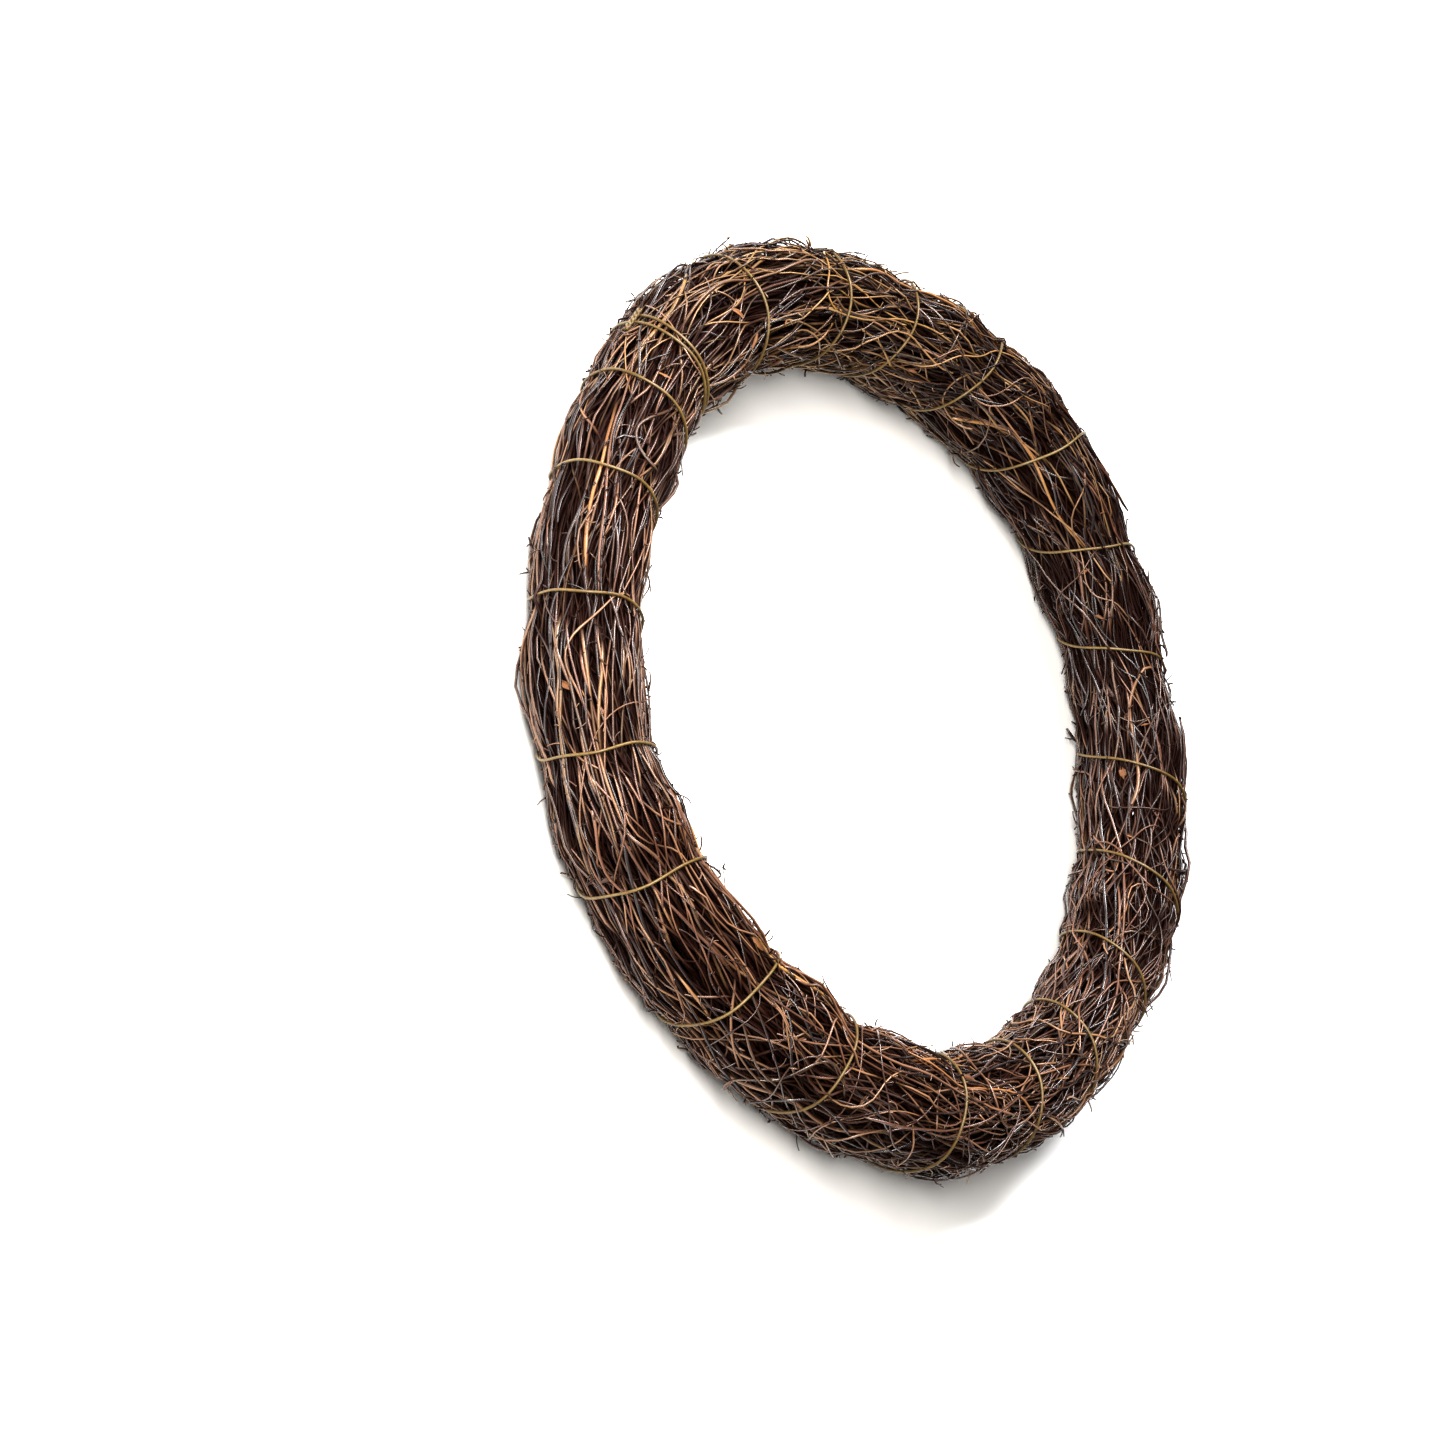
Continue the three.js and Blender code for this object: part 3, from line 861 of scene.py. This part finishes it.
middleTwigs = {
    "seed": 4,
    "sides": 5,
    "batches": [
        {"count": 640, "steps": 28, "length": (0.08, 0.18), "depth": (1.2 * mm, 3.4 * mm), "stray": 12,
         "sway": 9, "swayLength": (30 * mm, 70 * mm), "kink": 5, "weave": (0.5 * mm, 2.0 * mm), "hollow": 0.8,
         "radius": (0.33 * mm, 0.58 * mm), "looseEnds": 0.05, "lift": 2 * mm, "tones": (0, 0.93)},
    ],
}
makeTwigs("twigs_middle", middleTwigs)

outerTwigs = {
    "seed": 5,
    "sides": 6,
    "batches": [
        {"count": 470, "steps": 28, "length": (0.05, 0.16), "depth": (0, 1.6 * mm), "stray": 10,
         "sway": 13, "swayLength": (25 * mm, 65 * mm), "kink": 5, "weave": (0.5 * mm, 1.9 * mm), "hollow": 1,
         "bulge": (0, 1 * mm), "radius": (0.3 * mm, 0.5 * mm), "looseEnds": 0.15, "lift": 2.5 * mm,
         "tones": (0, 0.93)},
        {"count": 56, "steps": 28, "length": (0.08, 0.17), "depth": (-0.5 * mm, 0.5 * mm), "stray": 9,
         "sway": 8, "swayLength": (40 * mm, 90 * mm), "kink": 4, "weave": (0.2 * mm, 1.0 * mm), "hollow": 0.5,
         "bulge": (0.3 * mm, 2 * mm), "radius": (0.36 * mm, 0.56 * mm), "looseEnds": 0.1, "lift": 2 * mm,
         "tones": (0, 0.8)},
        {"count": 34, "steps": 24, "length": (0.04, 0.11), "depth": (-0.4 * mm, 0.4 * mm), "stray": 9,
         "sway": 16, "swayLength": (35 * mm, 80 * mm), "kink": 10, "weave": (0.2 * mm, 0.9 * mm),
         "hollow": 0.3, "radius": (0.44 * mm, 0.66 * mm), "looseEnds": 0.2, "lift": 2 * mm,
         "tones": (0.9, 1.02)},
    ],
}
makeTwigs("twigs_outer", outerTwigs)

# Fine twigs on top: winding where it is tangled, straight and close together where it is calm
fineTwigs = {
    "seed": 12,
    "sides": 5,
    "batches": [
        {"count": 360, "steps": 22, "length": (0.03, 0.11), "depth": (-0.2 * mm, 0.9 * mm), "stray": 15,
         "sway": 19, "swayLength": (30 * mm, 70 * mm), "kink": 6, "weave": (0.2 * mm, 1.0 * mm),
         "hollow": 0.7, "bulge": (0, 0.8 * mm), "radius": (0.27 * mm, 0.43 * mm), "looseEnds": 0.15,
         "lift": 2.5 * mm, "tones": (0.25, 0.9), "curl": (0, 60), "gather": 1.5, "over": 0.15},
        {"count": 190, "steps": 24, "length": (0.08, 0.17), "depth": (-0.1 * mm, 0.7 * mm), "stray": 11,
         "sway": 6, "swayLength": (40 * mm, 90 * mm), "kink": 4, "weave": (0.1 * mm, 0.9 * mm), "hollow": 0.7,
         "bulge": (0, 0.8 * mm), "radius": (0.3 * mm, 0.44 * mm), "looseEnds": 0.1, "lift": 2 * mm,
         "tones": (0.05, 0.9), "gather": -2, "over": 0.05},
    ],
}
makeTwigs("twigs_fine", fineTwigs)

# Twigs that lie across the others, and thin ones that curl over them
crossingTwigs = {
    "seed": 6,
    "sides": 6,
    "batches": [
        {"count": 460, "steps": 16, "length": (0.014, 0.065), "depth": (-0.5 * mm, 2.2 * mm), "stray": 16,
         "sway": 24, "swayLength": (22 * mm, 52 * mm), "kink": 6, "weave": (0.2 * mm, 1.0 * mm),
         "hollow": 0.6, "radius": (0.27 * mm, 0.46 * mm), "looseEnds": 0.3, "lift": 2.5 * mm,
         "tones": (0.1, 0.93), "curl": (0, 70), "gather": 1.5, "over": 0.1},
        {"count": 80, "steps": 26, "length": (0.03, 0.1), "depth": (-1.2 * mm, 0.3 * mm), "stray": 45,
         "sway": 20, "swayLength": (20 * mm, 60 * mm), "kink": 6, "weave": (0.2 * mm, 1.0 * mm),
         "hollow": 0.3, "radius": (0.26 * mm, 0.46 * mm), "looseEnds": 0.3, "lift": 3 * mm,
         "tones": (0.25, 0.95), "curl": (60, 230), "gather": 1.2},
    ],
}
makeTwigs("twigs_crossing", crossingTwigs)

# Side shoots, which grow out of the outer twigs, and stubs and broken ends
stubs = {
    "seed": 14,
    "count": 1300,
    "sides": 4,
    "steps": 4,
    "length": (1.2 * mm, 4.2 * mm),
    "radius": (0.24 * mm, 0.4 * mm),
    "aside": (5, 60),
    "rise": (20, 80),
    "curl": 30,
    "tones": (0, 0.85),
}
sideShoots = {
    "seed": 7,
    "count": 1700,
    "sides": 4,
    "steps": 6,
    "length": (1.6 * mm, 6.8 * mm),
    "radius": (0.19 * mm, 0.34 * mm),
    "aside": (30, 85),  # degrees from the twig's own direction
    "rise": (5, 55),
    "curl": 80,
    "tones": (0, 0.8),
}


# What shoots and scraps have in common
growth = {
    "stemDepth": 1.6 * mm,  # the deepest at which they grow
    "shortness": 2,  # more of them are short than long
    "droop": (0.2, 1.6),
    "taper": 0.32,
    "offset": 0.01,  # keeps the upward side of a tube from lying along it
}


def pickStems(draw, batches, count):
    for batch in batches:
        batch["along"] = unit(np.gradient(batch["points"], axis=1))
    flat = {}
    for key in ("points", "along", "ups", "deep"):
        flat[key] = np.concatenate([batch[key].reshape(-1, *batch[key].shape[2:]) for batch in batches])
    chosen = draw.choice(np.flatnonzero(flat["deep"] < growth["stemDepth"]), count)
    return {key: flat[key][chosen] for key in flat}


# Points at even steps from the stem, turned aside from its direction and rising off the bundle
def growFrom(stems, aside, rise, length, forward=1):
    along, ups = stems["along"][:, None], stems["ups"][:, None]
    aside, rise = aside[..., None], rise[..., None]
    flatWay = np.cos(aside) * along * forward + np.sin(aside) * np.cross(ups, along)
    way = np.cos(rise) * flatWay + np.sin(rise) * ups
    steps = np.cumsum(way[:, :-1], axis=1) * (length / (way.shape[1] - 1))[..., None]
    return stems["points"][:, None] + np.concatenate([0 * way[:, :1], steps], axis=1)


def growShoots(values, batches):
    draw = np.random.default_rng(values["seed"])
    count, steps = values["count"], values["steps"]
    stems = pickStems(draw, batches, count)
    share = np.linspace(0, 1, steps)[None, :]
    shortest, longest = values["length"]
    length = shortest + (longest - shortest) * draw.random((count, 1)) ** growth["shortness"]
    aside = np.radians(forEach(draw, count, values["aside"])) * draw.choice((-1, 1), (count, 1))
    aside = aside + np.radians(values["curl"]) * draw.normal(size=(count, 1)) * share
    rise = np.radians(forEach(draw, count, values["rise"]))
    rise = rise * (1 - forEach(draw, count, growth["droop"]) * share)
    forward = draw.choice((-1, 1), (count, 1, 1))
    points = growFrom(stems, aside, rise, length, forward)
    radii = forEach(draw, count, values["radius"]) * (1 - growth["taper"] * share)
    around = np.arctan2(points[:, 0, 1], points[:, 0, 0])
    tone = draw.uniform(*values["tones"], count) * regional("toneByPlace", around)
    return {
        "points": overFloor(points, radii),
        "ups": np.broadcast_to(stems["ups"][:, None] + growth["offset"], points.shape),
        "radii": radii,
        "values": twigLook(draw, tone, stems["deep"], around, around),
    }


outerBatches = laid["twigs_outer"] + laid["twigs_fine"] + laid["twigs_crossing"]
shoots = [makeTubes(growShoots(values, outerBatches), values["sides"]) for values in (sideShoots, stubs)]
piece = joinTubes("side_shoots", shoots, barkLook)
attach(piece, "root")

# Scraps of leaf and loose bark caught between the twigs
scraps = {
    "seed": 9,
    "count": 120,
    "steps": 8,
    "sides": 8,
    "row": 24 / 1024,  # height of its rows on the square map
    "length": (2 * mm, 6 * mm),
    "width": (0.1, 0.24),  # half of it, as a share of the length
    "ends": (0.06, 0.94),  # of a leaf's outline, from tip to tip
    "roundness": 0.8,
    "ragged": (0.6, 1.2),
    "thickness": 0.14,
    "thicknessSpread": (0.7, 1.3),
    "cup": 0.6,
    "aside": 0.7,
    "bend": 0.4,
    "rise": (-0.1, 0.3),
    "droop": (0, 0.8),
    "tilt": 0.8,
    "clearance": 1.05,  # over the floor, in half widths
    "tones": [(0, (0.045, 0.02, 0.011)), (0.5, (0.14, 0.058, 0.021)), (1, (0.26, 0.115, 0.04))],
    "streaks": 0.9,
    "fineness": 2.0,
    "vein": (0.06, 0.025, 0.012),
    "veinShare": 0.7,
    "roughness": 0.62,
    "relief": 0.5,
    "reliefDepth": 0.3 * mm,
}


def cutScraps(values, batches):
    draw = np.random.default_rng(values["seed"])
    count, steps = values["count"], values["steps"]
    stems = pickStems(draw, batches, count)
    share = np.linspace(0, 1, steps)[None, :]
    length = forEach(draw, count, values["length"])
    aside = draw.normal(size=(count, 1)) * values["aside"]
    aside = aside + draw.normal(size=(count, 1)) * values["bend"] * share
    rise = forEach(draw, count, values["rise"]) - forEach(draw, count, values["droop"]) * share
    points = growFrom(stems, aside, rise, length)
    first, last = values["ends"]
    outline = np.sin(math.pi * (first + (last - first) * share)) ** values["roundness"]
    widest = length * forEach(draw, count, values["width"])
    radii = widest * outline * draw.uniform(*values["ragged"], (count, steps))
    tilt = draw.normal(size=(count, 1)) * values["tilt"]
    across = np.cross(stems["ups"], stems["along"])
    ups = stems["ups"] * np.cos(tilt) + across * np.sin(tilt)
    return {
        "points": overFloor(points, radii, values["clearance"]),
        "ups": np.broadcast_to(ups[:, None] + growth["offset"], points.shape),
        "radii": radii,
        "flat": values["thickness"] * draw.uniform(*values["thicknessSpread"], count),
        "cup": values["cup"] * draw.normal(size=count),
        "values": {"tone": draw.random(count)},
    }


def scrapMaterial(values):
    material, tree, shader = newMaterial("leafScrap")
    tone = attribute(tree, "tone")
    grain = placeGroup(tree, "grain", Map=skinMap(tree, tone), Fineness=values["fineness"])
    color = addRamp(tree, streaked(tree, tone, grain, values["streaks"]), values["tones"])
    color = tint(tree, color, grain["Fleck"], values["veinShare"], values["vein"])
    relief = bump(tree, grain["Height"], values["relief"], values["reliefDepth"])
    setInputs(tree, shader, {"Base Color": color, "Normal": relief, "Roughness": values["roughness"]})
    return material


scrapTubes = [makeTubes(cutScraps(scraps, outerBatches), scraps["sides"])]
piece = joinTubes("leaf_scraps", scrapTubes, scrapMaterial(scraps), scraps["row"])
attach(piece, "root")

# The binding wire
wireSkin = {
    "paper": [(0.2, (0.06, 0.034, 0.010)), (0.5, (0.14, 0.087, 0.025)), (0.8, (0.235, 0.158, 0.05))],
    "worn": (0.27, 0.2, 0.09),
    # the seam's colour, also used for the painted shade on the wire's sides
    "seam": (0.04, 0.025, 0.01),
    "roughness": (0.3, 0.48),
    "wrapLength": 2.6 * mm,  # of one turn of the paper strip round the wire
    "seamWidth": 0.16,  # as a share of the strip's
    "seamShare": 0.6,
    # how much painted shade darkens the wire's sides
    "shadedFlank": 0.6,
    "dustAmount": 0.5,
    "dustFineness": 45.0,
    "fineness": 1.6,
    "fiber": 0.3,
    "relief": 0.5,
    "reliefDepth": 0.12 * mm,
    "row": 18 / 1024,
}


def layWire():
    turns = len(wire["turnPlaces"])
    steps = round((turns + wire["doubledLaps"]) * wire["stepsPerTurn"])
    laps = wire["firstLap"] + np.arange(steps + 1) / wire["stepsPerTurn"]
    around = np.mean([wireAround(laps + offset) for offset in wire["easing"]], axis=0)
    share = np.clip(laps - wire["firstLap"] - turns + 1, 0, 1)
    around = around + wire["doubledOffset"] / ring["radius"] * share**2 * (3 - 2 * share)
    waver = sum(np.sin(laps * quick + start) for quick, start in wire["waverBends"])
    around = around + wire["waver"] / ring["radius"] * waver
    section = laps * lap
    tuck = wire["tuckDepth"] * np.clip(1 - (laps[-1] - laps) / wire["tuckLaps"], 0, 1) ** 2
    points = place(around, section, bundleReach(around, section) + wire["lift"] - tuck)[None]
    return {
        "points": points, "ups": outwards(around, section)[None], "cut": wire["stepsPerTurn"] // 2,
        "radii": np.full(points.shape[:2], wire["radius"]), "values": {"tone": np.zeros(1)},
    }


# Its start, twisted round the wire beside it
def layKnot():
    share = np.linspace(0, 1, wire["knotPoints"])
    section = wire["firstLap"] * lap + 0 * share
    away = wire["knotLength"] * share + wire["knotStart"]
    around = wireAround(wire["firstLap"]) + away / ring["radius"]
    out = outwards(around, section)
    side = unit(np.cross(np.gradient(place(around, section, ring["bundle"]), axis=0), out))
    middle = place(around, section, bundleReach(around, section) + wire["knotLift"])
    strands = []
    for strand in (0, 1):
        turn = (wire["knotTwists"] * share + strand / 2)[:, None] * lap
        swirl = out * np.sin(turn) + side * np.cos(turn)
        strands.append(middle + swirl * wire["radius"] * wire["knotSpread"])
    points = np.stack(strands)
    return {
        "points": points, "ups": np.broadcast_to(out, points.shape),
        "radii": np.full(points.shape[:2], wire["radius"]), "values": {"tone": np.array([0.3, 0.6])},
    }


def wireMaterial(values):
    material, tree, shader = newMaterial("paperWire")
    where = addNode(tree, "ShaderNodeUVMap", {"uv_map": "skin"}).outputs["UV"]
    grain = placeGroup(tree, "grain", Map=where, Fineness=values["fineness"])
    dust = placeGroup(tree, "dust", Amount=values["dustAmount"], Fineness=values["dustFineness"])["Mask"]
    shadedFlank = placeGroup(tree, "shadedFlank", Map=where)["Mask"]
    parts = addNode(tree, "ShaderNodeSeparateXYZ", Vector=where).outputs
    turn = minus(tree, addMath(tree, "DIVIDE", parts[0], values["wrapLength"]), parts[1])
    fold = addMath(tree, "FRACT", turn)
    seam = addRamp(tree, fold, [(0.0, (1, 1, 1)), (values["seamWidth"], (0, 0, 0))])
    color = addRamp(tree, grain["Streak"], values["paper"])
    color = addMix(tree, dust, color, (*values["worn"], 1))
    color = tint(tree, color, seam, values["seamShare"], values["seam"])
    # painted shade on the wire's sides, in the seam's colour
    color = tint(tree, color, shadedFlank, values["shadedFlank"], values["seam"])
    rough = between(tree, values["roughness"], grain["Streak"])
    height = addMath(tree, "ADD", times(tree, grain["Height"], values["fiber"]), fold)
    relief = bump(tree, height, values["relief"], values["reliefDepth"])
    setInputs(tree, shader, {"Base Color": color, "Roughness": rough, "Normal": relief})
    return material


wireTubes = [makeTubes(batch, wire["sides"]) for batch in (layWire(), layKnot())]
piece = joinTubes("binding_wire_wound", wireTubes, wireMaterial(wireSkin), wireSkin["row"])
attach(piece, "root")
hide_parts("binding_wire")

# Floor and light
studio = {
    "floorSize": 8,
    "floorColor": (0.9, 0.9, 0.9, 1),
    "floorRoughness": 0.8,
    "surround": 0.14,  # strength of the even light from all sides
    "gamma": 0.8,
}
lamps = {  # direction from the ring, distance, width and length, way of the length, power and colour
    "keyLight": ((-0.72, 0.12, 0.68), 0.8, (0.17, 0.7), (0, 1, 0), 15.8, (1.0, 0.97, 0.92)),
    "topLight": ((0.1, 0.58, 0.78), 1.8, (0.3, 1.4), (1, 0, 0), 78, (0.97, 0.98, 1.0)),
}


def makeFloor():
    bpy.ops.mesh.primitive_plane_add(size=studio["floorSize"], location=(0, 0, 0))
    floor = bpy.context.object
    floor.name = "floor"
    material, tree, shader = newMaterial("paleFloor")
    setInputs(tree, shader, {"Base Color": studio["floorColor"], "Roughness": studio["floorRoughness"]})
    floor.data.materials.append(material)


def areaLight(name, towards, distance, size, lengthWay, power, color):
    data = bpy.data.lights.new(name, "AREA")
    data.shape = "RECTANGLE"
    data.size, data.size_y = size
    data.energy = power
    data.color = color
    lamp = bpy.data.objects.new(name, data)
    bpy.context.scene.collection.objects.link(lamp)
    way = Vector(towards).normalized()
    up = (Vector(lengthWay) - way * way.dot(Vector(lengthWay))).normalized()
    turn = Matrix((up.cross(way), up, way)).transposed().to_4x4()
    lamp.matrix_world = Matrix.Translation(way * distance + ringMiddle) @ turn


def lightRoom():
    world = bpy.data.worlds.new("studio")
    bpy.context.scene.world = world
    world.use_nodes = True
    tree = world.node_tree
    setInputs(tree, tree.nodes["Background"], {"Color": (1, 1, 1, 1), "Strength": studio["surround"]})
    view = bpy.context.scene.view_settings
    view.view_transform = "Standard"
    view.gamma = studio["gamma"]


makeFloor()
for name, values in lamps.items():
    areaLight(name, *values)
lightRoom()
print("floor and", len(lamps), "lamps placed")
